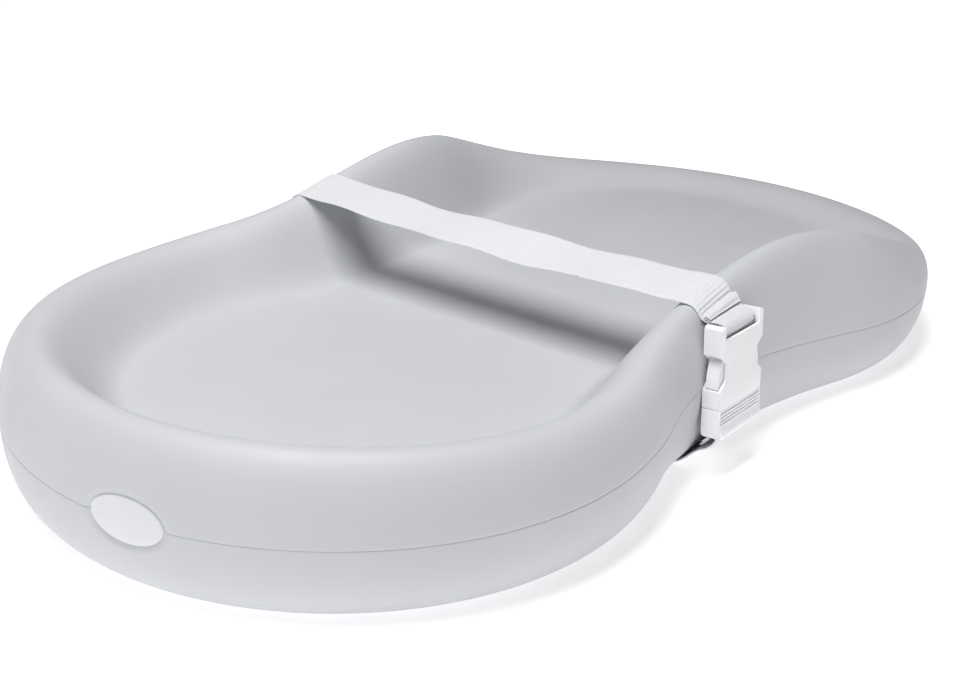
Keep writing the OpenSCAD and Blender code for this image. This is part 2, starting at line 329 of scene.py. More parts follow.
def recess(s, z):
    """Depth of the soft-edged oval recess round the badge."""
    u, w = (s - BADGE_S) / (BADGE_W / 2), (z - BADGE_Z) / (BADGE_H / 2)
    ratio = np.sqrt(u * u + w * w)
    stretch = 1 + RECESS_STRETCH * u * u / (ratio**2 + 1e-9)
    beyond = (ratio - 1) * (BADGE_H / 2 * stretch)
    return RECESS_DEPTH * (1 - smoothstep((beyond - RECESS_GAP) / RECESS_EDGE))


def surface_ring(section, a, depth=0.0):
    """One ring of the outer surface; the seam's roll and the badge's recess are its depth."""
    x = OUTLINE[:, 0]
    _, z = section(x, a, 0.0)
    z = np.broadcast_to(z, x.shape)
    extra = seam_roll(z - parting(x)) + recess(SAMPLES, z)
    inset, z = section(x, a, depth + extra)
    return place(OUTLINE, inset, z)


def inner_ring(section, a):
    x = OUTLINE[:, 0]
    _, z = section(x, a, 0.0)
    inset, z = section(x, a, SKIN_T + recess(SAMPLES, np.broadcast_to(z, x.shape)))
    return place(OUTLINE, inset, z)


def fine_rows():
    """Distances from the seam of the rows that draw its roll and the badge's recess."""
    return [0, 0.00018, 0.0004, 0.0008, 0.0014] + [0.0022 + 0.00095 * k for k in range(22)]


def low_angles():
    """Fine rows by the seam and the badge, then wider ones down to the base."""
    fine = [math.acos((d / BADGE_Z) ** (1 / LOW_POWER)) for d in fine_rows()]
    last = math.degrees(fine[-1])
    return fine + [math.radians(last * (1 - k / 20)) for k in range(1, 21)]


def high_angles():
    """Fine rows by the seam and the badge, then wider ones up to the rim's crest."""
    rise = float(rim_top(-PAD_LENGTH / 2)) - BADGE_Z
    fine = [math.asin((d / rise) ** (1 / HIGH_POWER)) for d in fine_rows()]
    last = math.degrees(fine[-1])
    return fine + [math.radians(last + (90 - last) * k / 26) for k in range(1, 27)]


def floor_rings(ring, steps):
    """Rings from the edge of a flat floor or base in towards the pad's long axis."""
    spine = ring.copy()
    spine[:, 0] = np.clip(ring[:, 0], HIGH_CX, LOW_CX)
    spine[:, 1] = 0
    return [ring + (spine - ring) * (FLOOR_REACH * k / steps) for k in range(1, steps + 1)]


def skin_object(name, outer, inner, flip):
    """A closed shell from outer and inner rings, which both run from the seam to the middle."""
    n = len(OUTLINE)
    rings = list(reversed(outer)) + inner
    last = n * (len(rings) - 1)
    caps = [tuple(range(n)), tuple(reversed(range(last, last + n)))]
    faces = ring_faces(n, len(rings)) + caps
    if flip:
        faces = [face[::-1] for face in faces]
    return mesh_object(name, np.concatenate(rings), faces, sharp=60)


WALL_STEPS = 34


def make_upper_skin():
    outer = [surface_ring(high_point, a) for a in high_angles()]
    for k in range(1, WALL_STEPS + 1):
        inset, z = wall_point(OUTLINE[:, 0], k / WALL_STEPS, 0.0)
        outer.append(place(OUTLINE, inset, z))
    outer += floor_rings(outer[-1], 5)
    inner = [inner_ring(high_point, math.radians(a)) for a in (0, 8, 18, 30, 45, 60, 75, 90)]
    for k in range(1, 9):
        inset, z = wall_point(OUTLINE[:, 0], k / 8, SKIN_T)
        inner.append(place(OUTLINE, inset, z))
    inner += floor_rings(inner[-1], 2)
    return skin_object("pad_upper_skin", outer, inner, flip=False)


def box(name, low, high):
    corners = [(x, y, z) for x in (low[0], high[0]) for y in (low[1], high[1]) for z in (low[2], high[2])]
    faces = [(0, 1, 3, 2), (4, 6, 7, 5), (0, 4, 5, 1), (2, 3, 7, 6), (0, 2, 6, 4), (1, 5, 7, 3)]
    return mesh_object(name, corners, faces)


def make_lower_skin():
    outer = [surface_ring(low_point, a) for a in low_angles()]
    outer += floor_rings(outer[-1], 4)
    inner = [inner_ring(low_point, math.radians(a)) for a in (90, 80, 68, 54, 38, 20, 0)]
    inner += floor_rings(inner[-1], 2)
    skin = skin_object("pad_lower_skin", outer, inner, flip=True)
    half = WEB_W / 2 + CHANNEL_SIDE
    channel = box("channel", (WAIST_X - half, -0.3, -0.01), (WAIST_X + half, 0.3, CHANNEL_DEPTH))
    cut(skin, [channel])
    finish_shading(skin, 40)
    return skin


# ---------------------------------------------------------------- badge


def badge_point(u, w, depth):
    """A point on the body's own surface by the badge, at a depth under it."""
    s = BADGE_S + u
    outline = np.array([outline_point(s)])
    x, z = outline[:, 0], BADGE_Z + w
    seam = float(parting(x)[0])
    if z < seam:
        a = math.acos(min(1, (seam - z) / seam) ** (1 / LOW_POWER))
        inset, height = low_point(x, a, depth)
    else:
        rise = float(rim_top(x)[0]) - seam
        a = math.asin(min(1, (z - seam) / rise) ** (1 / HIGH_POWER))
        inset, height = high_point(x, a, depth)
    return place(outline, inset, height)[0]


def make_badge():
    """A blank domed oval with a rolled edge, set in the recess."""
    count = 120
    profile = [(0.0, 0.00022), (0.2, 0.00023), (0.4, 0.00026), (0.6, 0.00032), (0.78, 0.00041),
               (0.9, 0.00052), (0.95, 0.0006), (0.975, 0.00068), (0.99, 0.00082), (0.998, 0.001),
               (1.0, 0.0013), (1.0, 0.0019), (0.98, 0.0022), (0.6, 0.0022), (0.2, 0.0022)]
    points = []
    for share, depth in profile[1:]:
        for k in range(count):
            a = 2 * math.pi * k / count
            u, w = share * BADGE_W / 2 * math.cos(a), share * BADGE_H / 2 * math.sin(a)
            points.append(badge_point(u, w, depth))
    rings = len(profile) - 1
    faces = [face[::-1] for face in ring_faces(count, rings)]
    centre = len(points)
    points.append(badge_point(0, 0, profile[0][1]))
    faces += [(centre, (k + 1) % count, k)[::-1] for k in range(count)]
    last = (rings - 1) * count
    faces.append(tuple(last + k for k in range(count)))
    return mesh_object("badge_oval", points, faces, sharp=80)


# ---------------------------------------------------------------- belt


def half_width(x):
    r = np.where(x < WAIST_X, HIGH_WAIST_R, LOW_WAIST_R)
    return WAIST_HALF + r - np.sqrt(r * r - (x - WAIST_X) ** 2)


def low_station(x, degrees, side):
    inset, z = low_point(x, math.radians(degrees), -WEB_OFF)
    return side * (half_width(x) - inset), np.maximum(z, CHANNEL_DEPTH - WEB_T / 2)


def high_station(x, degrees, side, lift=0.0):
    inset, z = high_point(x, math.radians(degrees), -WEB_OFF - lift)
    return side * (half_width(x) - inset), z


def buckle_spot(x, v, w):
    sin, cos = math.sin(BUCKLE_LEAN), math.cos(BUCKLE_LEAN)
    y, z = -BUCKLE_BACK - v * cos + w * sin, BUCKLE_Z + v * sin + w * cos
    return np.full_like(x, y), np.full_like(x, z)


def round_bar(x, v, w, radius, degrees):
    """A spot on the webbing's middle as it passes round a bar of the buckle."""
    a, r = math.radians(degrees), radius + 0.0003 + WEB_T / 2
    y, z = buckle_spot(x, v, w)
    return y + r * math.cos(a), z + r * math.sin(a)


TAIL_LIFT = WEB_T + 0.00015
TOP_BAR = (BUCKLE_T / 2, 0.0725, 0.0025)
INNER_BAR = (0.0045, 0.063, 0.002)
MALE_BAR = (0.0045, 0.006, 0.0022)
RUN_BEND = (0.0006 - WAIST_HALF, 0.1022)
RUN_ENTRY = (-0.0013 - WAIST_HALF, 0.0975)
RUN_NORMAL = (-0.645, 0.764)


def at(x, y, z):
    """The same (y, z) right across the webbing."""
    return np.full_like(x, y), np.full_like(x, z)


def run_station(x, t, lift=0.0):
    """On the run that rises from behind the top bar, t = 0, to the rim's shoulder, t = 1."""
    y, z = high_station(x, 60, -1)
    ny, nz = RUN_NORMAL
    return RUN_BEND[0] * (1 - t) + y * t + ny * lift, RUN_BEND[1] * (1 - t) + z * t + nz * lift


LOOP_RISE = ((-0.169, 0.0014), (-0.1736, 0.0022), (-0.1776, 0.0049), (-0.1873, 0.0142),
             (-0.196, 0.0198), (-0.2006, 0.026))
LOOP_FOLD = ((-0.1956, 0.0296), (-0.1944, 0.0246), (-0.1904, 0.0202))


def belt_stations(x):
    """The belt's middle line, as (zone, (y, z)) from the folded hem to the loop's sewn end."""
    hem_top = TAIL_LIFT + WEB_T + HEM_GAP
    stations = [("hem", run_station(x, t, hem_top)) for t in (0.38, 0.52, 0.66, 0.78)]
    stations += [("hem", run_station(x, 0.9, TAIL_LIFT + WEB_T / 2))]
    stations += [("hem", run_station(x, t, TAIL_LIFT)) for t in (0.78, 0.64, 0.5, 0.36)]
    stations += [("tail", round_bar(x, *TOP_BAR, a)) for a in (108, 130, 155, 180)]
    stations += [("turn", round_bar(x, *INNER_BAR, a)) for a in (-180, -135, -90, -45, 0)]
    stations += [("run", at(x, *RUN_ENTRY)), ("run", at(x, *RUN_BEND))]
    stations += [("run", high_station(x, a, -1)) for a in (60, 75, 90)]
    right, left = high_station(x, 90, -1), high_station(x, 90, 1)
    for k in range(1, 16):
        t = 2 * k / 16 - 1
        z = (right[1] + left[1]) / 2 - BELT_SAG * (1 - t * t)
        stations.append(("span", (left[0] * t, z)))
    stations += [("flank", left)]
    stations += [("flank", high_station(x, a, 1)) for a in (75, 60, 40, 20)]
    stations += [("flank", low_station(x, a, 1)) for a in (90, 74, 58, 46, 36, 28, 22, 16, 10)]
    base = WAIST_HALF - BASE_IN - 0.008
    stations += [("base", at(x, y, CHANNEL_DEPTH - WEB_T / 2)) for y in (base, base / 3, -base / 3, -base)]
    stations += [("rise", at(x, y, z)) for y, z in LOOP_RISE]
    stations += [("wrap", round_bar(x, *MALE_BAR, a)) for a in (180, 150, 120, 90, 60, 30, 0)]
    stations += [("fold", at(x, y, z)) for y, z in LOOP_FOLD]
    return stations


def catmull_rom(points, steps):
    """Points on a centripetal Catmull-Rom curve through points; steps is per span."""
    ends = np.concatenate([[2 * points[0] - points[1]], points, [2 * points[-1] - points[-2]]])
    out, marks = [], []
    for i in range(1, len(ends) - 2):
        p = ends[i - 1 : i + 3]
        gaps = [max(1e-6, float(np.linalg.norm(p[k + 1][0] - p[k][0])) ** 0.5) for k in range(3)]
        t0, t1 = 0.0, gaps[0]
        t2, t3 = t1 + gaps[1], t1 + gaps[1] + gaps[2]
        for k in range(steps[i - 1]):
            t = t1 + (t2 - t1) * k / steps[i - 1]
            a1 = (t1 - t) / (t1 - t0) * p[0] + (t - t0) / (t1 - t0) * p[1]
            a2 = (t2 - t) / (t2 - t1) * p[1] + (t - t1) / (t2 - t1) * p[2]
            a3 = (t3 - t) / (t3 - t2) * p[2] + (t - t2) / (t3 - t2) * p[3]
            b1 = (t2 - t) / (t2 - t0) * a1 + (t - t0) / (t2 - t0) * a2
            b2 = (t3 - t) / (t3 - t1) * a2 + (t - t1) / (t3 - t1) * a3
            out.append((t2 - t) / (t2 - t1) * b1 + (t - t1) / (t2 - t1) * b2)
            marks.append(i - 1)
    out.append(points[-1])
    marks.append(len(points) - 2)
    return np.array(out), marks


RIB_PITCH = 0.0030
RIBBED = {"hem": 0.7, "tail": 1.0, "turn": 1.0, "run": 0.9, "wrap": 1.0, "rise": 0.6, "fold": 0.4}


def belt_columns():
    """Places across the webbing, closer together near its selvedges."""
    t = np.linspace(-1, 1, 25)
    return np.sign(t) * (1 - (1 - np.abs(t)) ** 1.35)


def make_belt():
    """One length of webbing: hem, adjuster, span over the basin, channel and buckle loop."""
    across = belt_columns()
    x = WAIST_X + across * WEB_W / 2
    stations = belt_stations(x)
    points = np.array([np.column_stack([y, z]) for _, (y, z) in stations])
    middle = points[:, len(x) // 2]
    steps = []
    for i in range(len(stations) - 1):
        length = float(np.linalg.norm(middle[i + 1] - middle[i]))
        fine = 0.0005 if stations[i][0] in RIBBED else 0.003
        steps.append(max(2, round(length / fine)))
    path, marks = catmull_rom(points, steps)
    spacing = np.linalg.norm(np.diff(path[:, len(x) // 2], axis=0), axis=1)
    along = np.concatenate([[0], np.cumsum(spacing)])
    strength = np.array([RIBBED.get(stations[m][0], 0.0) for m in marks])
    strength = np.convolve(np.pad(strength, 6, mode="edge"), np.ones(13) / 13, mode="valid")
    tangent = np.gradient(path, axis=0)
    tangent /= np.linalg.norm(tangent, axis=2, keepdims=True)
    normal = np.stack([-tangent[..., 1], tangent[..., 0]], axis=2)
    path = path + normal * belt_waves(along, across, stations, marks)[..., None]
    ribs = 0.00028 * strength[:, None] * np.cos(2 * math.pi * along / RIB_PITCH)[:, None]
    ribs = ribs * (1 - np.abs(across) ** 10)
    half = WEB_T / 2 * (1 - 0.45 * np.abs(across) ** 14)
    upper = path + normal * (half + ribs - 0.0001)[..., None]
    lower = path - normal * (half - ribs * 0.4 - 0.0001)[..., None]
    return strip_object("belt_webbing", x, upper, lower, along), float(along[-1])


def belt_waves(along, across, stations, marks):
    """Slight waves and cupping where nothing holds the webbing flat."""
    free = np.array([1.0 if stations[m][0] == "span" else 0.0 for m in marks])
    free = np.convolve(np.pad(free, 10, mode="edge"), np.ones(21) / 21, mode="valid")
    s, c = along[:, None], across[None, :]
    waves = 0.0007 * np.sin(2 * math.pi * (s / 0.118 + 0.10 * c) + 0.6)
    waves = waves + 0.0005 * np.sin(2 * math.pi * (s / 0.067 - 0.22 * c) + 2.1)
    waves = waves + 0.0006 * c * np.sin(2 * math.pi * s / 0.21 + 1.0)
    return free[:, None] * waves


def strip_object(name, x, upper, lower, along):
    """A closed strip from its two faces, with UVs across and along the webbing."""
    rows, columns = upper.shape[:2]
    points = []
    for face in (upper, lower):
        for row in face:
            points += [(x[i], row[i][0], row[i][1]) for i in range(columns)]
    size = rows * columns
    faces = []
    for r in range(rows - 1):
        for c in range(columns - 1):
            a = r * columns + c
            quad = (a, a + 1, a + columns + 1, a + columns)
            faces.append(quad)
            faces.append(tuple(size + k for k in reversed(quad)))
        for c in (0, columns - 1):
            a = r * columns + c
            side = (a, a + columns, size + a + columns, size + a)
            faces.append(side if c == 0 else side[::-1])
    for r in (0, rows - 1):
        for c in range(columns - 1):
            a = r * columns + c
            end = (a, size + a, size + a + 1, a + 1)
            faces.append(end if r == 0 else end[::-1])
    obj = mesh_object(name, points, faces, sharp=70)
    layer = obj.data.uv_layers.new(name="webbing")
    width = x[-1] - x[0]
    spots = np.empty((2 * size, 2))
    spots[:, 0] = np.tile(np.tile((x - x[0]) / width, rows), 2)
    spots[:, 1] = np.tile(np.repeat(along / along[-1], columns), 2)
    loops = np.empty(len(obj.data.loops), dtype=np.int64)
    obj.data.loops.foreach_get("vertex_index", loops)
    layer.data.foreach_set("uv", spots[loops].ravel())
    return obj


def stitch(points, faces, centre, direction, normal, length):
    """Adds one stitch: a short thread that dips into the webbing at both its ends."""
    side = direction.cross(normal).normalized()
    rows, count = 9, 8
    first = len(points)
    for r in range(rows):
        t = -1 + 2 * r / (rows - 1)
        thick = THREAD_R * math.sqrt(max(0.03, 1 - abs(t) ** 4))
        middle = centre + direction * (t * length / 2) - normal * (0.00022 * t * t)
        for k in range(count):
            a = 2 * math.pi * k / count
            points.append(middle + side * (thick * math.cos(a)) + normal * (thick * math.sin(a)))
    faces += ring_faces(count, rows, first)
    faces.append(tuple(first + k for k in range(count)))
    last = first + (rows - 1) * count
    faces.append(tuple(last + k for k in reversed(range(count))))


def stitch_rows(name, rows):
    """Rows of stitches, each (near edge, far edge, normal, number) in the row frame."""
    points, faces = [], []
    for near, far, normal, number in rows:
        run = (far - near).normalized()
        middle = (near + far) / 2
        for i in range(number):
            shift = (i - (number - 1) / 2) * STITCH_PITCH + RNG.normal(0, 0.00006)
            stitch(points, faces, middle + run * shift, run, normal, STITCH_LENGTH)
    return mesh_object(name, points, faces, sharp=80)


def make_hem_stitches():
    edges = np.array([WAIST_X - WEB_W / 2, WAIST_X + WEB_W / 2])
    y, z = run_station(edges, 0.58, TAIL_LIFT + WEB_T * 1.5 + 0.0002)
    near, far = (Vector((edges[i], y[i], z[i])) for i in (0, 1))
    return stitch_rows("hem_stitches", [(near, far, Vector((0, *RUN_NORMAL)), 13)])


def make_loop_stitches():
    rows = []
    low, high = np.array(LOOP_RISE[3]), np.array(LOOP_RISE[4])
    for share in (0.3, 0.5, 0.7):
        spot = low * (1 - share) + high * share
        normal = Vector((0, -0.54, -0.84)).normalized()
        centre = Vector((WAIST_X, spot[0], spot[1])) + normal * (WEB_T / 2 + 0.0002)
        reach = Vector((0.01, 0, 0))
        rows.append((centre - reach, centre + reach, normal, 11))
    return stitch_rows("loop_stitches", rows)


# ---------------------------------------------------------------- buckle


def buckle_matrix():
    """From the buckle's own frame (u, w, v) to the row frame."""
    lean = Matrix.Rotation(math.pi / 2 - BUCKLE_LEAN, 4, "X")
    return Matrix.Translation((WAIST_X, -BUCKLE_BACK, BUCKLE_Z)) @ lean


def rounded(corners, steps=5):
    """A polygon's points with each corner (u, w, radius) rounded."""
    out, n = [], len(corners)
    for i, (u, w, radius) in enumerate(corners):
        here = Vector((u, w))
        back = Vector(corners[i - 1][:2]) - here
        ahead = Vector(corners[(i + 1) % n][:2]) - here
        if radius == 0:
            out.append(here)
            continue
        half = back.angle(ahead) / 2
        reach = min(radius / math.tan(half), back.length * 0.49, ahead.length * 0.49)
        start, end = here + back.normalized() * reach, here + ahead.normalized() * reach
        for k in range(steps + 1):
            t = k / steps
            out.append(start * (1 - t) ** 2 + here * (2 * t * (1 - t)) + end * t**2)
    return out


def prism(name, corners, v0, v1, steps=5):
    """A solid between v0 and v1 over a rounded polygon, in the buckle's frame."""
    shape = rounded(corners, steps)
    n = len(shape)
    points = [(p.x, p.y, v) for v in (v0, v1) for p in shape]
    faces = [tuple(reversed(range(n))), tuple(range(n, 2 * n))]
    faces += [(i, (i + 1) % n, n + (i + 1) % n, n + i) for i in range(n)]
    return mesh_object(name, points, faces)


def slab(name, u, w0, w1, v0, v1):
    return box(name, (-u, w0, v0), (u, w1, v1))


def rod(name, v, w, radius, reach, count=32):
    """A bar across the buckle."""
    points = []
    for u in (-reach, reach):
        for k in range(count):
            a = 2 * math.pi * k / count
            points.append((u, w + radius * math.cos(a), v + radius * math.sin(a)))
    faces = [tuple(range(count)), tuple(reversed(range(count, 2 * count)))]
    faces += [(k, k + count, (k + 1) % count + count, (k + 1) % count) for k in range(count)]
    return mesh_object(name, points, faces)


def mirrored(corners):
    """Corners on the right, from low to high, and the same on the left."""
    return corners + [(-u, w, r) for u, w, r in reversed(corners)]


def make_female():
    low, high = WINDOW
    outline = mirrored([
        (HALF_W, SEAM_W + 0.0003, 0.0004), (HALF_W + FLARE, low, 0.0012),
        (PLATE_HALF, low + 0.006, 0.003), (PLATE_HALF, high - 0.004, 0.003),
        (HALF_W, high + 0.001, 0.0016), (HALF_W, TOP_W - 0.0012, 0.0022),
        (HALF_W - 0.0016, TOP_W, 0.0018),
    ])
    body = prism("buckle_female_half", outline, 0, BUCKLE_T)
    cut(body, [
        slab("cavity", HALF_W - RING_WALL, SEAM_W - PAST, CAVITY_TOP, *INSIDE),
        slab("windows", HALF_W + PAST, low, high, *INSIDE),
        slab("web_way", WEB_HALF, OPENING_LOW, TOP_W + PAST, -PAST, BUCKLE_T - PLATE_T),
        slab("web_slot", WEB_HALF, FRONT_SLOT_LOW, TOP_W + PAST, 0, BUCKLE_T + PAST),
    ])
    bevel(body, 0.0006)
    join(body, [rod("bar", *bar, BAR_REACH) for bar in (TOP_BAR, INNER_BAR)])
    finish_shading(body, 45)
    return body


def prong_pocket(sign):
    """The room that a prong's arm turns in, as a prism with its knuckle."""
    u, w = PIVOT
    corners = [(-0.0024, 0.0, 0), (0.0024, 0.0, 0), (0.0028, 0.006, 0), (-0.0036, 0.006, 0)]
    shape = [(sign * (u + a), w + b, r) for a, b, r in corners]
    if sign < 0:
        shape.reverse()
    arm = prism("pocket", shape, *INSIDE)
    knuckle = disc("pocket", sign * u, w, KNUCKLE_R + KNUCKLE_GAP, *INSIDE)
    return [arm, knuckle]


def disc(name, u, w, radius, v0, v1, count=48):
    turns = [2 * math.pi * k / count for k in range(count)]
    points = [(u + radius * math.cos(a), w + radius * math.sin(a), v) for v in (v0, v1) for a in turns]
    faces = [tuple(reversed(range(count))), tuple(range(count, 2 * count))]
    faces += [(k, (k + 1) % count, count + (k + 1) % count, count + k) for k in range(count)]
    return mesh_object(name, points, faces)


def front_lip():
    """The rounded lip along the male half's lower edge, as a bar across the buckle."""
    profile = [(0.0008, 0.0094), (0.0002, 0.0104), (0.0002, 0.0116), (0.0008, 0.0129), (0.0019, 0.0138),
               (0.0032, 0.0142), (0.0047, 0.0142), (0.0062, 0.0139), (0.0076, 0.0134), (0.009, 0.0129),
               (0.009, 0.0094)]
    n, reach = len(profile), HALF_W - 0.0008
    points = [(u, w, v) for u in (-reach, reach) for w, v in profile]
    faces = [tuple(range(n)), tuple(reversed(range(n, 2 * n)))]
    faces += [(k, k + n, (k + 1) % n + n, (k + 1) % n) for k in range(n)]
    return mesh_object("lip", points, faces)


def make_male():
    outline = mirrored([(HALF_W - 0.003, 0.0, 0.003), (HALF_W + FLARE / 2, 0.003, 0.003),
                        (HALF_W + FLARE, 0.0065, 0.003), (HALF_W, SEAM_W, 0.0004)])
    body = prism("buckle_male_half", outline, 0, BUCKLE_T)
    cut_out = (BUCKLE_T - GROOVE_DEPTH, BUCKLE_T + PAST)
    grooves = [slab("groove", GROOVE_HALF, w, w + GROOVE_W, *cut_out) for w in GROOVES]
    step = [slab("step", GROOVE_HALF, STEP_LOW, SEAM_W + PAST, *cut_out)]
    way = [slab("web_way", WEB_HALF, -PAST, 0.0114, -PAST, 0.0094)]
    cut(body, grooves + step + way)
    bevel(body, 0.0004)
    cut(body, prong_pocket(1) + prong_pocket(-1))
    join(body, [
        front_lip(),
        rod("bar", *MALE_BAR, BAR_REACH),
        slab("tongue", 0.006, SEAM_W - PAST, 0.0544, PRONG_GAP, BUCKLE_T - PRONG_GAP),
    ])
    finish_shading(body, 45)
    return body


def make_prong(name, sign):
    """Knuckle, arm and latch head with a rounded tip, all in one moulding."""
    u, w = PIVOT
    head, low = HALF_W - 0.0005, WINDOW[0] + 0.0004
    corners = [
        (u - 0.002, w, 0), (u + 0.002, w, 0), (u + 0.0022, SEAM_W + 0.001, 0.002),
        (u + 0.0048, low, 0.001), (head, low, 0.001), (head, 0.041, 0.005),
        (head - 0.0012, 0.047, 0.005), (0.0224, 0.0524, 0.003), (0.0202, 0.0548, 0.0018),
        (0.0176, 0.0552, 0.0018), (0.0158, 0.0525, 0.003), (u - 0.001, 0.043, 0.005),
        (u - 0.0016, SEAM_W, 0.003),
    ]
    if sign < 0:
        corners = [(-a, b, r) for a, b, r in reversed(corners)]
    body = prism(name, corners, PRONG_GAP, BUCKLE_T - PRONG_GAP)
    join(body, [disc("knuckle", sign * u, w, KNUCKLE_R, PRONG_GAP, BUCKLE_T - PRONG_GAP)])
    bevel(body, 0.0009, segments=4)
    return body


# ---------------------------------------------------------------- materials


def material(name, colour, roughness, specular=0.5, sheen=0.0):
    mat = bpy.data.materials.new(name)
    mat.use_nodes = True
    shader = mat.node_tree.nodes["Principled BSDF"]
    shader.inputs["Base Color"].default_value = (*colour, 1)
    shader.inputs["Roughness"].default_value = roughness
    shader.inputs["Specular IOR Level"].default_value = specular
    if sheen:
        shader.inputs["Sheen Weight"].default_value = sheen
        shader.inputs["Sheen Roughness"].default_value = 0.5
    return mat, mat.node_tree, shader


def node(tree, kind, inputs=None, **settings):
    made = tree.nodes.new(kind)
    for key, value in settings.items():
        setattr(made, key, value)
    for key, value in (inputs or {}).items():
        made.inputs[key].default_value = value
    return made


def spots(tree, kind="Object"):
    return node(tree, "ShaderNodeTexCoord").outputs[kind]


def noise(tree, vector, scale, detail):
    made = node(tree, "ShaderNodeTexNoise", {"Scale": scale, "Detail": detail, "Roughness": 0.5})
    tree.links.new(vector, made.inputs["Vector"])
    return made.outputs["Fac"]


def ramp(tree, value, low, high, to_low, to_high):
    """Maps a value from low..high to to_low..to_high."""
    made = node(tree, "ShaderNodeMapRange",
                {"From Min": low, "From Max": high, "To Min": to_low, "To Max": to_high})
    tree.links.new(value, made.inputs["Value"])
    return made.outputs["Result"]


def blend_colours(tree, value, first, second):
    made = node(tree, "ShaderNodeMix", data_type="RGBA")
    made.inputs[6].default_value = (*first, 1)
    made.inputs[7].default_value = (*second, 1)
    tree.links.new(value, made.inputs["Factor"])
    return made.outputs[2]


def tint(tree, shader, value, first, second):
    """The base colour, from first where value is 0 to second where it is 1."""
    tree.links.new(blend_colours(tree, value, first, second), shader.inputs["Base Color"])


def patches(tree, vector, scale, detail, low=0.0, high=1.0):
    """Soft noise patches between low and high."""
    return ramp(tree, noise(tree, vector, scale, detail), 0.3, 0.7, low, high)


def bump(tree, shader, height, distance, before=None):
    made = node(tree, "ShaderNodeBump", {"Distance": distance, "Strength": 1.0})
    tree.links.new(height, made.inputs["Height"])
    if before is not None:
        tree.links.new(before, made.inputs["Normal"])
    tree.links.new(made.outputs["Normal"], shader.inputs["Normal"])
    return made.outputs["Normal"]


def math_node(tree, operation, first, second):
    made = node(tree, "ShaderNodeMath", operation=operation)
    for value, socket in ((first, made.inputs[0]), (second, made.inputs[1])):
        if isinstance(value, (int, float)):
            socket.default_value = value
        else:
            tree.links.new(value, socket)
    return made.outputs[0]


def skin_material():
    """Satin moulded polyurethane skin: faint clouding, a fine grain and a slight orange peel."""
    mat, tree, shader = material("pad_skin", (0.57, 0.58, 0.61), 0.5, 0.35)
    here = spots(tree)
    tint(tree, shader, patches(tree, here, 9, 3), (0.565, 0.575, 0.605), (0.59, 0.60, 0.63))
    tree.links.new(patches(tree, here, 30, 3, 0.46, 0.56), shader.inputs["Roughness"])
    grain = bump(tree, shader, noise(tree, here, 1600, 2), 0.00002)
    bump(tree, shader, noise(tree, here, 140, 2), 0.00008, grain)
    return mat


def badge_material():
    """Paler, smoother moulded plastic."""
    mat, tree, shader = material("badge_plastic", (0.72, 0.73, 0.76), 0.38, 0.45)
    here = spots(tree)
    tint(tree, shader, patches(tree, here, 60, 2), (0.71, 0.72, 0.75), (0.735, 0.745, 0.775))
    tree.links.new(patches(tree, here, 220, 2, 0.34, 0.44), shader.inputs["Roughness"])
    bump(tree, shader, noise(tree, here, 2400, 2), 0.00001)
    return mat


def webbing_material(length):
    """White polyester twill, drawn across and along the webbing's own UVs."""
    mat, tree, shader = material("webbing", (0.86, 0.87, 0.90), 0.85, 0.25, 0.35)
    split = node(tree, "ShaderNodeSeparateXYZ")
    pin = node(tree, "ShaderNodeUVMap")
    pin.uv_map = "webbing"
    tree.links.new(pin.outputs["UV"], split.inputs["Vector"])
    across = math_node(tree, "MULTIPLY", split.outputs["X"], WEB_W * 1000)
    along = math_node(tree, "MULTIPLY", split.outputs["Y"], length * 1000)
    turn = 2 * math.pi

    def wave(value, pitch):
        return math_node(tree, "SINE", math_node(tree, "MULTIPLY", value, turn / pitch), 0)

    fold = math_node(tree, "PINGPONG", across, 9.5)
    diagonal = wave(math_node(tree, "ADD", along, fold), 1.35)
    warp = wave(across, 0.62)
    weft = wave(along, 0.75)
    weave = math_node(tree, "MULTIPLY", diagonal, 0.5)
    for thread in (warp, weft):
        weave = math_node(tree, "ADD", weave, math_node(tree, "MULTIPLY", thread, 0.25))
    fuzz = noise(tree, spots(tree), 900, 3)
    height = math_node(tree, "ADD", weave, math_node(tree, "MULTIPLY", fuzz, 0.5))
    # painted shade: the weave's low grooves are coloured darker, by the same pattern as its bump
    painted_hollow_shade = ramp(tree, weave, -1, 0.6, 0, 1)
    tint(tree, shader, painted_hollow_shade, (0.76, 0.77, 0.80), (0.90, 0.905, 0.925))
    bump(tree, shader, height, 0.00018)
    return mat


def thread_material():
    mat, tree, shader = material("thread", (0.88, 0.88, 0.91), 0.6, 0.4, 0.2)
    here = spots(tree)
    waves = {"Scale": 900.0, "Distortion": 1.5}
    twist = node(tree, "ShaderNodeTexWave", waves, bands_direction="DIAGONAL")
    tree.links.new(here, twist.inputs["Vector"])
    # painted shade: the twist's grooves are coloured darker, by the same waves as its bump
    tint(tree, shader, twist.outputs["Fac"], (0.80, 0.80, 0.84), (0.90, 0.90, 0.93))
    bump(tree, shader, twist.outputs["Fac"], 0.00006)
    return mat


def buckle_material():
    """White moulded acetal: a fine spark-eroded texture under a soft gloss."""
    mat, tree, shader = material("buckle_plastic", (0.93, 0.935, 0.96), 0.36, 0.5)
    here = spots(tree)
    tint(tree, shader, patches(tree, here, 45, 2), (0.92, 0.925, 0.95), (0.94, 0.945, 0.965))
    tree.links.new(patches(tree, here, 130, 3, 0.3, 0.42), shader.inputs["Roughness"])
    bump(tree, shader, noise(tree, here, 1900, 2), 0.000025)
    return mat


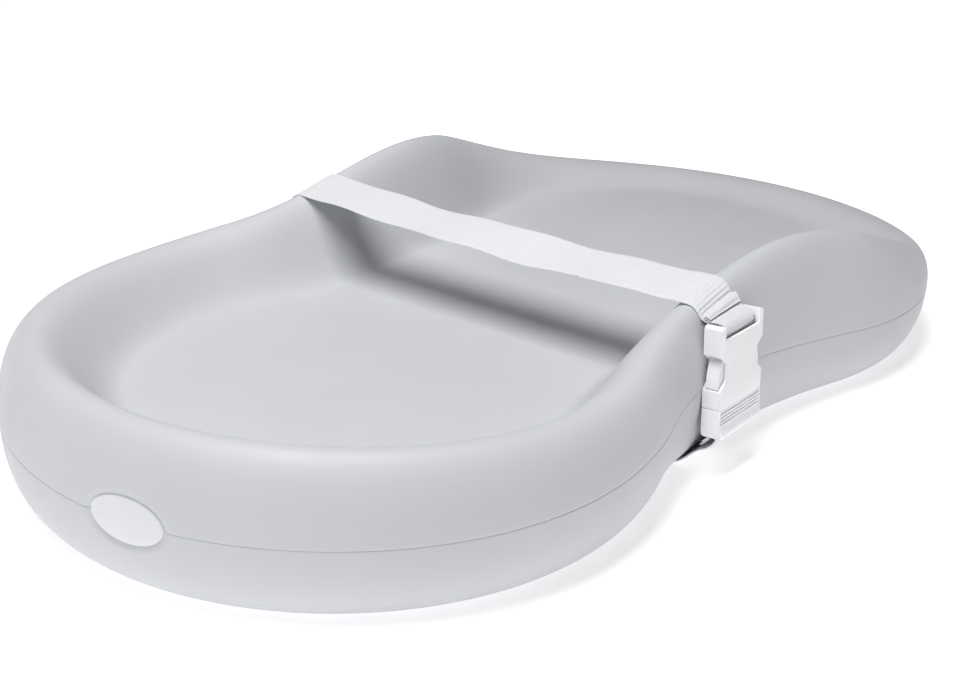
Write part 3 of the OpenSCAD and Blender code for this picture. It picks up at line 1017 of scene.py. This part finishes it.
def foam_material():
    """Cream open-celled foam."""
    mat, tree, shader = material("foam", (0.85, 0.80, 0.66), 0.9, 0.1)
    cells = node(tree, "ShaderNodeTexVoronoi", {"Scale": 900.0})
    tree.links.new(spots(tree), cells.inputs["Vector"])
    # painted shade: the cells' hollows are coloured darker, by the same distance as their bump
    painted_hollow_shade = ramp(tree, cells.outputs["Distance"], 0, 0.8, 0, 1)
    tint(tree, shader, painted_hollow_shade, (0.72, 0.66, 0.52), (0.88, 0.83, 0.69))
    bump(tree, shader, cells.outputs["Distance"], 0.0002)
    return mat


def adhesive_material():
    mat, tree, shader = material("adhesive", (0.8, 0.8, 0.78), 0.45, 0.4)
    here = spots(tree)
    tint(tree, shader, patches(tree, here, 300, 3), (0.74, 0.74, 0.71), (0.82, 0.82, 0.80))
    bump(tree, shader, noise(tree, here, 700, 2), 0.00003)
    return mat


def floor_material():
    """Plain white paper with painted light: it glows of itself, more strongly further off, as an
    overexposed backdrop looks.
    """
    mat, tree, shader = material("floor", (0.8, 0.8, 0.8), 0.9, 0.1)
    shader.inputs["Emission Color"].default_value = (1, 1, 1, 1)
    here = spots(tree)
    away = node(tree, "ShaderNodeVectorMath", operation="LENGTH")
    tree.links.new(here, away.inputs[0])
    # painted light: the floor's own glow, weaker by the pad and stronger further off
    glow = ramp(tree, away.outputs["Value"], 0.3, 0.7, 0.54, 0.95)
    tree.links.new(glow, shader.inputs["Emission Strength"])
    bump(tree, shader, noise(tree, here, 60, 2), 0.0001)
    return mat


def dress(obj, mat):
    obj.data.materials.clear()
    obj.data.materials.append(mat)


# ---------------------------------------------------------------- stage


CAMERA_AZIMUTH = math.radians(37.67)
CAMERA_ELEVATION = math.radians(22.83)
CAMERA_ROLL = math.radians(1.92)
CAMERA_TARGET = (-0.0231, 0.0236, 0.0136)
CAMERA_DISTANCE = 1.069
CAMERA_LENS = 53.45
FLOOR_HALF = 6.0
FLOOR_STEPS = 12


def make_camera():
    """The camera at its azimuth and elevation from the target, rolled about its own axis."""
    azimuth, elevation, roll = CAMERA_AZIMUTH, CAMERA_ELEVATION, CAMERA_ROLL
    level = math.cos(elevation)
    back = Vector((-math.cos(azimuth) * level, -math.sin(azimuth) * level, math.sin(elevation)))
    right = (-back).cross(Vector((0, 0, 1))).normalized()
    up = right.cross(-back)
    x_axis = right * math.cos(roll) + up * math.sin(roll)
    y_axis = up * math.cos(roll) - right * math.sin(roll)
    spot = Vector(CAMERA_TARGET) + back * CAMERA_DISTANCE
    data = bpy.data.cameras.new("camera")
    data.sensor_width = 36
    data.lens = CAMERA_LENS
    camera = bpy.data.objects.new("camera", data)
    camera.matrix_world = Matrix((
        (x_axis.x, y_axis.x, back.x, spot.x),
        (x_axis.y, y_axis.y, back.y, spot.y),
        (x_axis.z, y_axis.z, back.z, spot.z),
        (0, 0, 0, 1),
    ))
    bpy.context.scene.collection.objects.link(camera)
    bpy.context.scene.camera = camera


def area_light(name, power, across, along, spot, aim):
    """A softbox at spot that faces aim."""
    data = bpy.data.lights.new(name, "AREA")
    data.shape = "RECTANGLE"
    data.size = across
    data.size_y = along
    data.energy = power
    light = bpy.data.objects.new(name, data)
    light.location = spot
    light.rotation_euler = (Vector(aim) - Vector(spot)).to_track_quat("-Z", "Y").to_euler()
    bpy.context.scene.collection.objects.link(light)


def make_floor():
    """A square of white paper, in a grid of tiles."""
    row = FLOOR_STEPS + 1
    places = [(i / FLOOR_STEPS - 0.5) * 2 * FLOOR_HALF for i in range(row)]
    points = [(x, y, 0) for y in places for x in places]
    corners = [j * row + i for j in range(FLOOR_STEPS) for i in range(FLOOR_STEPS)]
    return mesh_object("floor", points, [(a, a + 1, a + row + 1, a + row) for a in corners])


def make_stage():
    floor = make_floor()
    dress(floor, floor_material())
    area_light("key", 24.6, 0.6, 1.15, (-0.41, -0.04, 1.45), (0.0, 0.0, 0.05))
    area_light("fill", 0.9, 1.1, 0.5, (-0.75, -1.4, 0.42), (0.0, 0.0, 0.1))
    make_world()
    bpy.context.scene.view_settings.view_transform = "Standard"


def make_world():
    """A white studio wall round the horizon under a dim ceiling."""
    world = bpy.data.worlds.new("world")
    world.use_nodes = True
    tree = world.node_tree
    split = node(tree, "ShaderNodeSeparateXYZ")
    tree.links.new(spots(tree, "Generated"), split.inputs["Vector"])
    glow = ramp(tree, split.outputs["Z"], 0.03, 0.12, 0.95, 0.04)
    tree.links.new(glow, tree.nodes["Background"].inputs["Strength"])
    tree.nodes["Background"].inputs["Color"].default_value = (1, 1, 1, 1)
    bpy.context.scene.world = world


# ---------------------------------------------------------------- assembly


def ride(obj, body, nodes, mat):
    """Dresses a piece, ties it to its body and hides the CAD nodes it stands for."""
    dress(obj, mat)
    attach(obj, body)
    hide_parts(*nodes)


def dress_cad_node(name, mat):
    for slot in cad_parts[name].material_slots:
        slot.material = mat


def main():
    make_camera()
    make_stage()
    skin, plastic, thread = skin_material(), buckle_material(), thread_material()

    upper, lower = make_upper_skin(), make_lower_skin()
    ride(upper, "pad", ["upper_skin"], skin)
    ride(lower, "pad", ["lower_skin"], skin)
    ride(make_badge(), "pad", ["badge"], badge_material())

    belt, length = make_belt()
    belt_nodes = ["belt_over_basin", "belt_left_flank", "belt_under_base", "belt_buckle_loop",
                  "belt_adjuster_run", "belt_free_tail", "tail_hem"]
    ride(belt, "pad", belt_nodes, webbing_material(length))
    hem_stitches, loop_stitches = make_hem_stitches(), make_loop_stitches()
    ride(hem_stitches, "pad", ["hem_stitching"], thread)
    ride(loop_stitches, "pad", ["fold_stitching"], thread)

    for made, body, replaced in (
        (make_female(), "pad", "buckle_female"),
        (make_male(), "pad", "buckle_male"),
        (make_prong("prong_near_piece", -1), "near_prong", "prong_near"),
        (make_prong("prong_far_piece", 1), "far_prong", "prong_far"),
    ):
        made.data.transform(buckle_matrix())
        ride(made, body, [replaced], plastic)

    dress_cad_node("foam_core", foam_material())
    dress_cad_node("badge_film", adhesive_material())


main()
